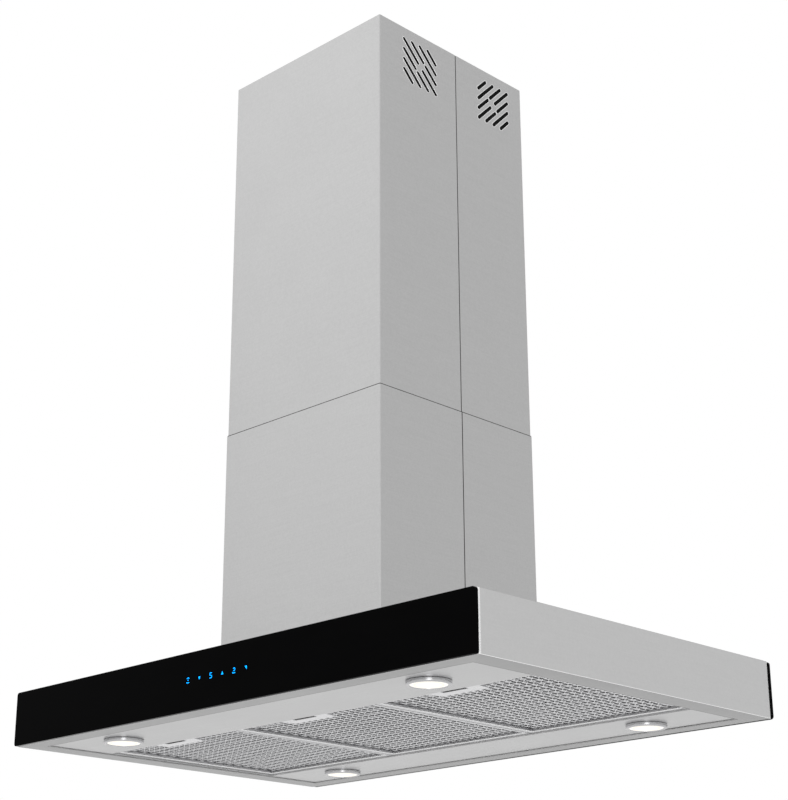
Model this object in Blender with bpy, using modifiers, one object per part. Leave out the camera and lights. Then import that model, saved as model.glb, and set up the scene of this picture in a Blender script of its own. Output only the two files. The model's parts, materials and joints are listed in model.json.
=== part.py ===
"""Island range hood: a steel and black-glass canopy under a two-part telescopic chimney.

It hangs from a ceiling plate. The origin is the centre of that plate's top face, +Z is up,
X runs along the front of the hood and the touch controls face -Y.
"""

import math

import bmesh
import bpy
from mathutils import Matrix, Vector

# Driving sizes, in metres
WIDTH = 0.900
DEPTH = 0.600
TOTAL_HEIGHT = 1.022
CANOPY_HEIGHT = 0.078
LOWER_CHIMNEY_HEIGHT = 0.360
CHIMNEY = 0.320
HEIGHT_TRAVEL = 0.300

GAP = 0.0003      # between neighbours
LAP = 0.0002      # overlap or step where solids are joined
THROUGH = 0.010   # how far a cutter runs past what it cuts

GLASS = 0.006
GLASS_CORNER = 0.004
SHEET = 0.0008
PANEL_SHEET = 0.001
FLANGE_X = 0.036
FLANGE_Y = 0.035
PANEL_LAP = 0.008
OUTLET_X, OUTLET_Y = 0.105, 0.120
SEAM_Y = 0.006
SEAM_GAP = 0.0004
SECTION_LAP = 0.040
SLIDE_PLAY = 0.0004
BEND = 0.002
CHIMNEY_FLANGE = 0.013
TONGUE_SHEET = 0.0012
TONGUE = 0.010

PLATE = 0.003
PLATE_PLAY = 0.0015
DUCT_HOLE = 0.085
ANCHOR_X, ANCHOR_Y, ANCHOR_HOLE = 0.130, 0.070, 0.0045
CABLE_X, CABLE_HOLE = 0.118, 0.011

FILTER_WIDTH = 0.2715
FILTER_LENGTH = 0.320
FILTER_HEIGHT = 0.010
FILTER_PITCH = 0.2735
FILTER_SHIFT = 0.006
FILTER_RECESS = 0.0035
FILTER_RIM = 0.009
RIM_SHEET = 0.0015
MESH_LOW, MESH_HIGH = 0.004, 0.0064
KERB = 0.0057
POCKET_X, POCKET_Y = 0.0372, 0.028
POCKET_SHEET = 0.0012
LATCH_WIDTHS = (0.088, 0.080)
LATCH_LENGTH = 0.031
LATCH_SHEET = 0.0012
LATCH_TRAVEL = 0.006
FINGER_SLOT = (0.042, 0.005, 0.014)
BOLT_X, BOLT_HALF, BOLT_REACH = 0.028, 0.004, 0.005
BOLT_LEVELS = (0.0060, 0.0072)
TAB_X, TAB_HALF, TAB_REACH = 0.080, 0.010, 0.006
TAB_LEVELS = (0.0060, 0.0075)
SPRING_RADIUS, SPRING_WIRE = 0.0019, 0.0003
SPRING_TURNS, SPRING_SIDES = 4, 7
SPRING_LEVEL = 0.0048

LAMP_X, LAMP_Y = 0.299, 0.217
LAMP_RADIUS = 0.0285
LAMP_DROP = 0.0055
LAMP_HOLE = 0.0255
LAMP_BARREL = 0.0250
LENS_RADIUS = 0.0238
BODY_RADIUS = 0.0262
BODY_TOP = 0.022

VENT_UNIT = 0.017
VENT_TOP = 0.020
VENT_SLOT = 0.0038
VENT_CENTRES = {"front": -0.073, "rear": 0.092}

POST_OUT = 0.144
POST_LEG = 0.025
POST_SHEET = 0.0015
POST_OVERLAP = 0.120
FOOT = 0.0234
BOLT_Y = 0.130
BOLT_SLOT = 0.0034
BOLT_SHANK, BOLT_HEAD, BOLT_HEAD_THICK = 0.0029, 0.0050, 0.004
BRACE_WIDTH = 0.020

BLOWER_X, BLOWER_Y, BLOWER_HEIGHT = 0.120, 0.136, 0.235
BLOWER_SHEET = 0.001
BLOWER_OUTLET = 0.0725
FAN_Y, FAN_RISE = -0.0523, 0.100
FAN_RADIUS = 0.065
FAN_WIDTH = 0.094
FAN_BLADES = 20
BLADE_DEPTH, BLADE_SHEET, BLADE_LEAN = 0.012, 0.0011, 28
FAN_RING = 0.003
FAN_HUB, FAN_BORE, FAN_HUB_LENGTH = 0.010, 0.0043, 0.020
FAN_DISC = 0.0024
SHAFT_RADIUS = 0.004
SCROLL_X = 0.0515
SCROLL_SHEET = 0.0015
SCROLL_NEAR, SCROLL_FAR = 0.070, 0.098
SCROLL_TONGUE, SCROLL_END = 60.0, 360.0
INLET_RADIUS = 0.054
BRACKET_RADIUS, BRACKET_THICK = 0.066, 0.0030
BRACKET_ARM = 0.010
MOTOR_RADIUS, MOTOR_LENGTH, MOTOR_CHAMFER = 0.042, 0.055, 0.006
COLLAR_RADIUS = 0.075
COLLAR_HEIGHT = 0.060
COLLAR_FLANGE = 0.088
COLLAR_WALL = 0.0015
FLAP_RISE = 0.010
FLAP_RADIUS, FLAP_EDGE, FLAP_THICK = 0.0712, 0.0042, 0.0010
SPINDLE_RADIUS, SPINDLE_BORE, KNUCKLE_RADIUS = 0.0020, 0.0024, 0.0036
KNUCKLES = [(-0.060, -0.035), (0.008, 0.033)]

TOUCH_X, TOUCH_Z, TOUCH_DEPTH = 0.0715, 0.014, 0.008
TOUCH_PLAY = 0.0015
CASE_HALF, CASE_DEPTH = 0.050, 0.018
CASE_LOW, CASE_HIGH = 0.110, 0.200
GLAND_Y, GLAND_BORE = 0.025, 0.0035
ROUND = 32

# Levels and half sizes that follow from them
FLOOR = -TOTAL_HEIGHT
CANOPY_TOP = FLOOR + CANOPY_HEIGHT
SEAM_Z = CANOPY_TOP + LOWER_CHIMNEY_HEIGHT
PANEL_Z = FLOOR + PANEL_SHEET + GAP
FILTER_Z = FLOOR + FILTER_RECESS
HALF_X = WIDTH / 2
SHELL_Y = DEPTH / 2 - GLASS - GAP
LOWER_HALF = CHIMNEY / 2
UPPER_HALF = LOWER_HALF - SHEET - SLIDE_PLAY
OPENING_X = 1.5 * FILTER_PITCH + 0.0005
OPENING_Y = FILTER_LENGTH / 2 + 0.001
UPPER_POST_LOW = SEAM_Z - 0.034
LOWER_POST_HIGH = UPPER_POST_LOW + POST_OVERLAP
BOLT_Z = (UPPER_POST_LOW + LOWER_POST_HIGH) / 2 + 0.010
BLOWER_LOW = CANOPY_TOP + GAP
BLOWER_HIGH = BLOWER_LOW + BLOWER_HEIGHT
FAN_CENTRE = Vector((0.0, FAN_Y, CANOPY_TOP + FAN_RISE))
TOUCH_LEVEL = FLOOR + CANOPY_HEIGHT / 2 + 0.002
ALONG_X = (0.0, math.pi / 2, 0.0)
STAND_UP = Matrix(((0, 0, 1, 0), (1, 0, 0, 0), (0, 1, 0, 0), (0, 0, 0, 1)))   # XY outline to YZ

COLOURS = {
    # name: (colour, metallic, roughness)
    "brushed_steel": ((0.60, 0.60, 0.60), 1.0, 0.32),
    "frame_steel": ((0.55, 0.57, 0.58), 1.0, 0.45),
    "black_glass": ((0.005, 0.005, 0.006), 0.0, 0.05),
    "aluminium": ((0.75, 0.75, 0.76), 1.0, 0.35),
    "filter_mesh": ((0.62, 0.62, 0.63), 1.0, 0.40),
    "chrome_ring": ((0.70, 0.70, 0.70), 1.0, 0.15),
    "lamp_lens": ((1.0, 0.93, 0.80), 0.0, 0.30),
    "black_plastic": ((0.02, 0.02, 0.02), 0.0, 0.50),
    "grey_plastic": ((0.25, 0.26, 0.27), 0.0, 0.55),
    "zinc_bolt": ((0.62, 0.62, 0.60), 1.0, 0.30),
    "shaft_steel": ((0.50, 0.50, 0.50), 1.0, 0.20),
}


def clear_scene():
    for obj in list(bpy.data.objects):
        bpy.data.objects.remove(obj, do_unlink=True)


def new_collection(name):
    collection = bpy.data.collections.new(name)
    bpy.context.scene.collection.children.link(collection)
    return collection


def make_material(name):
    colour, metallic, roughness = COLOURS[name]
    material = bpy.data.materials.new(name)
    material.use_nodes = True
    shader = material.node_tree.nodes["Principled BSDF"]
    shader.inputs["Base Color"].default_value = (*colour, 1.0)
    shader.inputs["Metallic"].default_value = metallic
    shader.inputs["Roughness"].default_value = roughness
    return material


clear_scene()
HOOD = new_collection("island_range_hood")
CUTTERS = new_collection("cutters")
MATERIALS = {name: make_material(name) for name in COLOURS}


def add_object(name, mesh, material=None):
    """Links a mesh: a part if it has a material, a cutter if it has none."""
    obj = bpy.data.objects.new(name, mesh)
    if material:
        mesh.materials.append(MATERIALS[material])
        HOOD.objects.link(obj)
    else:
        obj.hide_render = True
        obj.display_type = "WIRE"
        CUTTERS.objects.link(obj)
    return obj


def add_empty(name, location, parent=None):
    """A joint's frame: what moves about it is parented to it."""
    empty = bpy.data.objects.new(name, None)
    empty.location = location
    empty.parent = parent
    HOOD.objects.link(empty)
    return empty


def boxes(name, corners, material=None):
    """One object holding a box for each (low corner, high corner)."""
    mesh = bpy.data.meshes.new(name)
    shape = bmesh.new()
    for low, high in corners:
        low, high = Vector(low), Vector(high)
        size = Matrix.Diagonal((*(high - low), 1.0))
        bmesh.ops.create_cube(shape, size=1.0, matrix=Matrix.Translation((low + high) / 2) @ size)
    shape.to_mesh(mesh)
    shape.free()
    return add_object(name, mesh, material)


def box(name, low, high, material=None):
    return boxes(name, [(low, high)], material)


def rods(name, ends, radius, material=None, sides=ROUND):
    """One object holding a cylinder for each (start, end)."""
    mesh = bpy.data.meshes.new(name)
    shape = bmesh.new()
    for start, end in ends:
        start, end = Vector(start), Vector(end)
        along = end - start
        turn = along.to_track_quat("Z", "Y").to_matrix().to_4x4()
        place = Matrix.Translation((start + end) / 2) @ turn
        bmesh.ops.create_cone(
            shape, cap_ends=True, segments=sides, radius1=radius, radius2=radius,
            depth=along.length, matrix=place,
        )
    shape.to_mesh(mesh)
    shape.free()
    return add_object(name, mesh, material)


def drills(name, places, radius, level, sides=ROUND):
    """Upright cylinders at (x, y) places, which pass through a sheet at a level."""
    ends = [((x, y, level - THROUGH), (x, y, level + THROUGH)) for x, y in places]
    return rods(name, ends, radius, sides=sides)


def boolean(obj, operation, cutter):
    modifier = obj.modifiers.new(cutter.name, "BOOLEAN")
    modifier.operation = operation
    modifier.object = cutter
    modifier.solver = "EXACT"
    return obj


def cut(obj, cutter):
    return boolean(obj, "DIFFERENCE", cutter)


def join(obj, addition):
    return boolean(obj, "UNION", addition)


def bevel(obj, width):
    modifier = obj.modifiers.new("bevel", "BEVEL")
    modifier.width = width
    modifier.segments = 1
    modifier.limit_method = "ANGLE"
    modifier.angle_limit = math.radians(40)
    return obj


def evaluated_mesh(obj):
    graph = bpy.context.evaluated_depsgraph_get()
    mesh = bpy.data.meshes.new_from_object(obj.evaluated_get(graph))
    mesh.materials.clear()
    return mesh


def place(piece, parent=None, location=(0, 0, 0), rotation=(0, 0, 0)):
    """Puts a piece where it belongs, together with the cutters of its Booleans."""
    cutters = [modifier.object for modifier in piece.modifiers if modifier.type == "BOOLEAN"]
    for obj in (piece, *cutters):
        obj.parent = parent
        obj.location = location
        obj.rotation_euler = rotation
    return piece


def smooth(obj, angle=35):
    obj.data.shade_smooth()
    obj.data.set_sharp_from_angle(angle=math.radians(angle))
    return obj


def turned(name, profile, material=None, steps=ROUND):
    """A closed (radius, height) outline swept around Z, run top to bottom on its outer side."""
    mesh = bpy.data.meshes.new(name)
    points = [(radius, 0.0, height) for radius, height in profile]
    edges = [(i, (i + 1) % len(points)) for i in range(len(points))]
    off_axis = [(i, j) for i, j in edges if points[i][0] > 0 or points[j][0] > 0]
    mesh.from_pydata(points, off_axis, [])
    obj = add_object(name, mesh, material)
    screw = obj.modifiers.new("screw", "SCREW")
    screw.steps = screw.render_steps = steps
    screw.use_merge_vertices = True
    screw.merge_threshold = 0.00001
    screw.use_smooth_shade = False
    return obj


def outline(name, loops, thickness, material=None):
    """A flat plate in the XY plane, centred on z = 0, from closed outlines: the first, less the rest."""
    curve = bpy.data.curves.new(name, "CURVE")
    curve.dimensions = "2D"
    curve.fill_mode = "BOTH"
    curve.extrude = thickness / 2
    for loop in loops:
        spline = curve.splines.new("POLY")
        spline.points.add(len(loop) - 1)
        for point, (x, y) in zip(spline.points, loop):
            point.co = (x, y, 0.0, 1.0)
        spline.use_cyclic_u = True
    temporary = bpy.data.objects.new(name + "_outline", curve)
    HOOD.objects.link(temporary)
    mesh = evaluated_mesh(temporary)
    bpy.data.objects.remove(temporary, do_unlink=True)
    shape = bmesh.new()
    shape.from_mesh(mesh)
    bmesh.ops.remove_doubles(shape, verts=shape.verts, dist=0.000001)
    shape.to_mesh(mesh)
    shape.free()
    return add_object(name, mesh, material)


def lay(obj, placement):
    """Moves the mesh itself, so the object's origin stays where its joint needs it."""
    obj.data.transform(placement)
    return obj


def arc(centre, radius, start, stop, count):
    """Points on an arc; angles in degrees."""
    angles = [math.radians(start + (stop - start) * i / count) for i in range(count + 1)]
    return [(centre[0] + radius * math.cos(a), centre[1] + radius * math.sin(a)) for a in angles]


def rectangle(half_x, half_y):
    return [(-half_x, -half_y), (half_x, -half_y), (half_x, half_y), (-half_x, half_y)]


def rounded_rectangle(half_x, half_y, radius, count=4):
    corners = [(1, 1, 0), (-1, 1, 90), (-1, -1, 180), (1, -1, 270)]
    points = []
    for sx, sy, start in corners:
        centre = (sx * (half_x - radius), sy * (half_y - radius))
        points += arc(centre, radius, start, start + 90, count)
    return points


def folded_sheet(name, path, low, high, thickness, material, closed=False, flange=0.0):
    """Sheet standing on a path in XY, its thickness to the path's left, with an optional bottom flange."""
    mesh = bpy.data.meshes.new(name)
    shape = bmesh.new()
    bottom = [shape.verts.new((x, y, low)) for x, y in path]
    top = [shape.verts.new((x, y, high)) for x, y in path]
    count = len(path)
    for i in range(count if closed else count - 1):
        j = (i + 1) % count
        shape.faces.new((bottom[i], bottom[j], top[j], top[i]))
    if flange:
        sign = math.copysign(1.0, path[0][0])
        side = -math.copysign(1.0, path[count // 2][1])
        inner_x = abs(path[0][0]) - flange
        inner_y = -side * (abs(path[count // 2][1]) - flange)
        inside = [(sign * inner_x, path[0][1]), (sign * inner_x, inner_y),
                  (-sign * inner_x, inner_y), (-sign * inner_x, path[-1][1])]
        lip = [shape.verts.new((x, y, low)) for x, y in inside]
        shape.faces.new((*lip, *reversed(bottom)))
    shape.to_mesh(mesh)
    shape.free()
    obj = add_object(name, mesh, material)
    solidify = obj.modifiers.new("thickness", "SOLIDIFY")
    solidify.thickness = thickness
    solidify.offset = -1.0
    solidify.use_even_offset = True
    return obj


# Ceiling frame

def ceiling_plate():
    half = UPPER_HALF - SHEET - PLATE_PLAY
    plate = box("ceiling_plate", (-half, -half, -PLATE), (half, half, 0.0), "frame_steel")
    anchors = [(x, y) for x in (-ANCHOR_X, ANCHOR_X) for y in (-ANCHOR_Y, ANCHOR_Y)]
    cut(plate, drills("duct_hole", [(0, 0)], DUCT_HOLE, 0))
    cut(plate, drills("anchor_holes", anchors, ANCHOR_HOLE, 0, sides=12))
    cut(plate, drills("cable_hole", [(CABLE_X, 0)], CABLE_HOLE, 0, sides=16))


def post(name, out, leg, low, high, foot_low, slot_low, slot_high):
    """Corner angle for the (+X, +Y) corner, with a foot at one end and one slot in its X leg."""
    inner = out - leg
    piece = box(name, (out - POST_SHEET, inner, low), (out, out, high), "frame_steel")
    join(piece, box(name + "_leg", (inner, out - POST_SHEET, low), (out - LAP, out - LAP / 2, high)))
    foot = ((POST_OUT - FOOT, inner + LAP, foot_low), (out - 2 * LAP, out - 2 * LAP, foot_low + POST_SHEET))
    join(piece, box(name + "_foot", *foot))
    slot = box(name + "_slot", (out - 2 * POST_SHEET, BOLT_Y - BOLT_SLOT, slot_low),
               (out + 2 * POST_SHEET, BOLT_Y + BOLT_SLOT, slot_high))
    return cut(piece, slot)


def other_corners(master, stem, material):
    """Copies of the piece at (+X, +Y), mirrored or turned into the other three corners."""
    bpy.context.view_layer.update()
    mesh = evaluated_mesh(master)
    mesh.transform(master.matrix_world)
    for corner, sx, sy in (("front_right", 1, -1), ("rear_left", -1, 1), ("front_left", -1, -1)):
        twin = mesh.copy()
        twin.transform(Matrix.Diagonal((sx, sy, 1, 1)))
        if sx * sy < 0:
            twin.flip_normals()
        add_object(f"{stem}_{corner}", twin, material)


def posts_and_bolts():
    low, high = UPPER_POST_LOW, -PLATE - GAP
    upper = post("upper_post_rear_right", POST_OUT, POST_LEG, low, high, high - POST_SHEET - LAP,
                 BOLT_Z - BOLT_SLOT - LAP, BOLT_Z + BOLT_SLOT + LAP + HEIGHT_TRAVEL)
    other_corners(upper, "upper_post", "frame_steel")

    out = POST_OUT - POST_SHEET - SLIDE_PLAY
    low, high = CANOPY_TOP + GAP, LOWER_POST_HIGH
    lower = post("lower_post_rear_right", out, out - POST_OUT + POST_LEG, low, high, low + LAP,
                 BOLT_Z - BOLT_SLOT, BOLT_Z + BOLT_SLOT)
    other_corners(lower, "lower_post", "frame_steel")

    head, nut = POST_OUT + GAP, out - POST_SHEET - GAP
    profile = [(0.0, head + BOLT_HEAD_THICK), (BOLT_HEAD, head + BOLT_HEAD_THICK), (BOLT_HEAD, head),
               (BOLT_SHANK, head), (BOLT_SHANK, nut), (BOLT_HEAD, nut),
               (BOLT_HEAD, nut - BOLT_HEAD_THICK), (0.0, nut - BOLT_HEAD_THICK)]
    bolt = turned("post_bolt_rear_right", profile, "zinc_bolt", steps=12)
    place(bolt, location=(0, BOLT_Y, BOLT_Z), rotation=ALONG_X)
    other_corners(bolt, "post_bolt", "zinc_bolt")


def braces():
    """Square rings that tie the posts: one outside the upper posts, one inside the lower."""
    out = POST_OUT + GAP + POST_SHEET
    inner = POST_OUT - POST_SHEET - SLIDE_PLAY - POST_SHEET - GAP
    for name, half, middle in (("upper_brace", out, UPPER_POST_LOW + 0.022),
                               ("lower_brace", inner, LOWER_POST_HIGH - 0.016)):
        folded_sheet(name, rectangle(half, half), middle - BRACE_WIDTH / 2, middle + BRACE_WIDTH / 2,
                     POST_SHEET, "frame_steel", closed=True)


# Chimney

def chimney_path(half, side, end_y):
    """U around one half of the chimney; side is -1 for the front half and +1 for the rear."""
    corner = half - BEND
    if side < 0:
        return [(-half, end_y), *arc((-corner, -corner), BEND, 180, 270, 3),
                *arc((corner, -corner), BEND, 270, 360, 3), (half, end_y)]
    return [(half, end_y), *arc((corner, corner), BEND, 0, 90, 3),
            *arc((-corner, corner), BEND, 90, 180, 3), (-half, end_y)]


def slot_outline(start, end):
    """Straight slot with round ends between two centres."""
    along = math.degrees(math.atan2(end[1] - start[1], end[0] - start[0]))
    radius = VENT_SLOT / 2
    return [*arc(start, radius, along + 90, along + 270, 3), *arc(end, radius, along - 90, along + 90, 3)]


def vent_slots():
    """Diagonals of a four-unit square, as (start, end) in units: the middle three are broken."""
    slots = []
    for k in range(-3, 4):
        length = 4 - abs(k)
        origin = (max(k, 0), max(-k, 0))
        breaks = {0: [(0.0, 1.75), (2.35, 4.0)], 1: [(0.0, 1.42), (1.72, 3.0)]}
        for start, end in breaks.get(abs(k), [(0.0, float(length))]):
            slots.append(((origin[0] + start, origin[1] + start), (origin[0] + end, origin[1] + end)))
    return slots


def vent_cutter(half):
    """Slots through both side walls of one half; they fall away from the chimney's near edge."""
    centre = VENT_CENTRES[half]
    away = 1 if half == "front" else -1
    loops = []
    for start, end in vent_slots():
        points = [(centre + away * (u - 2) * VENT_UNIT, -VENT_TOP - v * VENT_UNIT)
                  for u, v in (start, end)]
        loops.append(slot_outline(*points))
    return lay(outline(f"vent_slots_{half}", loops, CHIMNEY + 2 * THROUGH), STAND_UP)


def both_walls(near, far, low, high):
    """A box against each side wall, from |x| = near to far, with its low and high (y, z) corners."""
    return [((min(side * near, side * far), *low), (max(side * near, side * far), *high))
            for side in (-1, 1)]


def seam_tongues(rear_half, end_y, low, high):
    """Strips on the rear half that reach behind the front half's edges and guide it."""
    face = UPPER_HALF - SHEET
    strips = both_walls(face + LAP, face + LAP - TONGUE_SHEET, (end_y - TONGUE, low), (end_y + TONGUE, high))
    join(rear_half, boxes("seam_tongues", strips))
    relief = both_walls(face - GAP, face + 3 * SHEET, (end_y - 2 * TONGUE, low - THROUGH),
                        (end_y, high + THROUGH))
    cut(rear_half, boxes("seam_relief", relief))


def chimney():
    low, high = SEAM_Z - SECTION_LAP, -0.001
    for half, side in (("front", -1), ("rear", 1)):
        end_y = SEAM_Y + side * SEAM_GAP / 2
        upper = folded_sheet(f"upper_chimney_{half}", chimney_path(UPPER_HALF, side, end_y),
                             low, high, SHEET, "brushed_steel")
        if half == "rear":
            seam_tongues(upper, end_y, low + 0.002, high - 0.005)
        cut(upper, vent_cutter(half))
        folded_sheet(f"lower_chimney_{half}", chimney_path(LOWER_HALF, side, end_y),
                     CANOPY_TOP + GAP, SEAM_Z, SHEET, "brushed_steel", flange=CHIMNEY_FLANGE)


# Canopy

def window(name, half_x, front, rear, level):
    """Cutter for a rectangular opening through a sheet at a level."""
    return box(name, (-half_x, front, level - THROUGH), (half_x, rear, level + THROUGH))


def canopy_shell():
    low, high = (-HALF_X, -SHELL_Y, FLOOR), (HALF_X, SHELL_Y, CANOPY_TOP)
    shell = bevel(box("canopy_shell", low, high, "brushed_steel"), 0.0006)
    wall = PANEL_SHEET
    cut(shell, box("canopy_inside", (low[0] + wall, low[1] + wall, FLOOR + wall),
                   (high[0] - wall, high[1] - wall, CANOPY_TOP - wall)))
    inner_x, inner_y = HALF_X - FLANGE_X, DEPTH / 2 - FLANGE_Y
    cut(shell, window("canopy_mouth", inner_x, -inner_y, inner_y, FLOOR))
    cut(shell, window("canopy_outlet", OUTLET_X, -OUTLET_Y, OUTLET_Y, CANOPY_TOP))
    half_x, half_z = TOUCH_X + TOUCH_PLAY, TOUCH_Z + TOUCH_PLAY
    cut(shell, box("touch_window", (-half_x, -SHELL_Y - THROUGH, TOUCH_LEVEL - half_z),
                   (half_x, -SHELL_Y + THROUGH, TOUCH_LEVEL + half_z)))


def bottom_panel():
    """Lies on the canopy's flange from inside, with a kerb around the filter opening."""
    half_x = HALF_X - FLANGE_X + PANEL_LAP
    half_y = DEPTH / 2 - FLANGE_Y + PANEL_LAP
    panel = box("bottom_panel", (-half_x, -half_y, PANEL_Z), (half_x, half_y, PANEL_Z + PANEL_SHEET),
                "brushed_steel")
    kerb = PANEL_SHEET
    front, rear = FILTER_SHIFT - OPENING_Y, FILTER_SHIFT + OPENING_Y
    join(panel, box("kerb_block", (-OPENING_X - kerb, front - kerb, PANEL_Z + 2 * LAP),
                    (OPENING_X + kerb, rear + kerb, FILTER_Z + KERB)))
    cut(panel, window("filter_opening", OPENING_X, front, rear, FILTER_Z))
    places = [(x, y) for _, x, y in lamp_places()]
    cut(panel, drills("lamp_holes", places, LAMP_HOLE, PANEL_Z, sides=24))


def glass_panels():
    for name, side in (("front_glass", -1), ("rear_glass", 1)):
        shape = rounded_rectangle(HALF_X, CANOPY_HEIGHT / 2, GLASS_CORNER)
        glass = outline(name, [shape], GLASS, "black_glass")
        lay(glass, Matrix.Rotation(math.pi / 2, 4, "X"))
        place(glass, location=(0, side * (DEPTH - GLASS) / 2, FLOOR + CANOPY_HEIGHT / 2))
        bevel(glass, 0.0005)


# Lamps

def lamp_places():
    return [("front_left", -LAMP_X, -LAMP_Y), ("front_right", LAMP_X, -LAMP_Y),
            ("rear_left", -LAMP_X, LAMP_Y), ("rear_right", LAMP_X, LAMP_Y)]


def lamps():
    barrel_top, ledge, chamfer = 0.012, -0.0023, 0.0012
    bore, core = LENS_RADIUS + 2 * LAP, LAMP_BARREL - 0.0025
    low, lens_top = -LAMP_DROP, ledge - GAP
    ring = [(LAMP_BARREL, barrel_top), (LAMP_BARREL, -GAP), (LAMP_RADIUS, -GAP),
            (LAMP_RADIUS, low + chamfer), (LAMP_RADIUS - chamfer, low), (bore, low),
            (bore, ledge), (core, ledge), (core, barrel_top)]
    lens = [(0.0, lens_top), (LENS_RADIUS, lens_top), (LENS_RADIUS, low + chamfer),
            (LENS_RADIUS - chamfer / 2, low + 2 * LAP), (0.0, low + 2 * LAP)]
    stem = core - 2 * LAP
    body = [(0.0, BODY_TOP), (BODY_RADIUS, BODY_TOP), (BODY_RADIUS, barrel_top + GAP),
            (stem, barrel_top + GAP), (stem, ledge + 2 * LAP), (0.0, ledge + 2 * LAP)]
    for part, profile, material in (("lamp_ring", ring, "chrome_ring"), ("lamp_lens", lens, "lamp_lens"),
                                    ("lamp_body", body, "aluminium")):
        for corner, x, y in lamp_places():
            place(turned(f"{part}_{corner}", profile, material, steps=24), location=(x, y, PANEL_Z))


# Grease filters

def around(centres, half, along, levels):
    """A box at each x centre, of that half width, between (low, high) y and z."""
    return [((x - half, along[0], levels[0]), (x + half, along[1], levels[1])) for x in centres]


def filter_frame(name, parent):
    """Channel frame around the mesh, with a pocket for the latch behind its front edge.

    Its origin is the bottom of the rear edge, about which it hangs open.
    """
    half_x, front, top = FILTER_WIDTH / 2, -FILTER_LENGTH, FILTER_HEIGHT
    inner = half_x - FILTER_RIM
    frame = box(name, (-half_x, front, 0), (half_x, 0, top), "aluminium")
    cut(frame, box("filter_window", (-inner, front + FILTER_RIM, -THROUGH),
                   (inner, -FILTER_RIM, top + THROUGH)))
    cut(frame, box("filter_channel", (RIM_SHEET - half_x, front + RIM_SHEET, MESH_LOW - GAP),
                   (half_x - RIM_SHEET, -RIM_SHEET, MESH_HIGH + GAP)))

    seat_x, seat_top = LATCH_WIDTHS[0] / 2 + 2 * GAP, LATCH_SHEET + GAP
    join(frame, box("latch_pocket", (-POCKET_X, front + LAP / 2, seat_top + LAP / 2),
                    (POCKET_X, front + POCKET_Y, top - LAP)))
    cut(frame, box("pocket_inside", (POCKET_SHEET - POCKET_X, front + POCKET_SHEET, -THROUGH),
                   (POCKET_X - POCKET_SHEET, front + POCKET_Y - POCKET_SHEET, top - 0.001)))
    cut(frame, box("latch_seat", (-seat_x, front - THROUGH, -THROUGH),
                   (seat_x, front + FILTER_RIM + 0.001, seat_top)))
    windows = around((-BOLT_X, BOLT_X), BOLT_HALF + 0.0005, (front - BOLT_REACH, front + 0.003),
                     (BOLT_LEVELS[0] - 0.0005, BOLT_LEVELS[1] + 2 * LAP))
    cut(frame, boxes("bolt_windows", windows))
    tabs = around((-TAB_X, TAB_X), TAB_HALF, (0.0001 - RIM_SHEET, TAB_REACH), TAB_LEVELS)
    join(frame, boxes("rear_tabs", tabs))
    return place(frame, parent)


def filter_mesh(name, parent):
    """The mesh pack, let into the frame's channel and notched around the latch pocket."""
    half_x = FILTER_WIDTH / 2 - RIM_SHEET - GAP
    front, back = RIM_SHEET + GAP - FILTER_LENGTH, -RIM_SHEET - GAP
    notch_x, notch_y = POCKET_X + GAP, POCKET_Y + GAP - FILTER_LENGTH
    loop = [(-half_x, front), (-notch_x, front), (-notch_x, notch_y), (notch_x, notch_y),
            (notch_x, front), (half_x, front), (half_x, back), (-half_x, back)]
    pack = outline(name, [loop], MESH_HIGH - MESH_LOW, "filter_mesh")
    lay(pack, Matrix.Translation((0, 0, (MESH_LOW + MESH_HIGH) / 2)))
    return place(pack, parent)


def filter_latch(name, parent):
    """Trapezoid pull plate with a finger slot, a finger wall behind it and two bolts in front."""
    front_x, rear_x = (width / 2 for width in LATCH_WIDTHS)
    slot_x, slot_front, slot_rear = FINGER_SLOT[0] / 2, *FINGER_SLOT[1:]
    edge = [(-front_x, 0.0), (front_x, 0.0), (rear_x, LATCH_LENGTH), (-rear_x, LATCH_LENGTH)]
    slot = [(-slot_x, slot_front), (-slot_x, slot_rear), (slot_x, slot_rear), (slot_x, slot_front)]
    plate = outline(name, [edge, slot], LATCH_SHEET, "aluminium")
    lay(plate, Matrix.Translation((0, 0, LATCH_SHEET / 2)))
    wall_x, wall_back = BOLT_X + BOLT_HALF, slot_rear + LATCH_SHEET
    join(plate, box("finger_wall", (-wall_x, slot_rear, LATCH_SHEET / 2),
                    (wall_x, wall_back, BOLT_LEVELS[1] - LAP / 2)))
    bolts = around((-BOLT_X, BOLT_X), BOLT_HALF, (-BOLT_REACH, wall_back - 3 * LAP), BOLT_LEVELS)
    join(plate, boxes("latch_bolts", bolts))
    return place(plate, parent)


def latch_spring(name, parent):
    """Compression spring between the finger wall and the pocket's back."""
    start = FINGER_SLOT[2] + LATCH_SHEET + GAP + SPRING_WIRE
    end = POCKET_Y - POCKET_SHEET - GAP - SPRING_WIRE
    count = SPRING_TURNS * SPRING_SIDES
    curve = bpy.data.curves.new(name, "CURVE")
    curve.dimensions = "3D"
    curve.bevel_depth = SPRING_WIRE
    curve.bevel_resolution = 2
    curve.use_fill_caps = True
    spline = curve.splines.new("POLY")
    spline.points.add(count)
    for i, point in enumerate(spline.points):
        turn = 2 * math.pi * i / SPRING_SIDES
        along = start + (end - start) * i / count - FILTER_LENGTH
        across, up = SPRING_RADIUS * math.cos(turn), SPRING_RADIUS * math.sin(turn)
        point.co = (across, along, SPRING_LEVEL + up, 1.0)
    curve.materials.append(MATERIALS["shaft_steel"])
    spring = bpy.data.objects.new(name, curve)
    spring.parent = parent
    HOOD.objects.link(spring)


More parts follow.
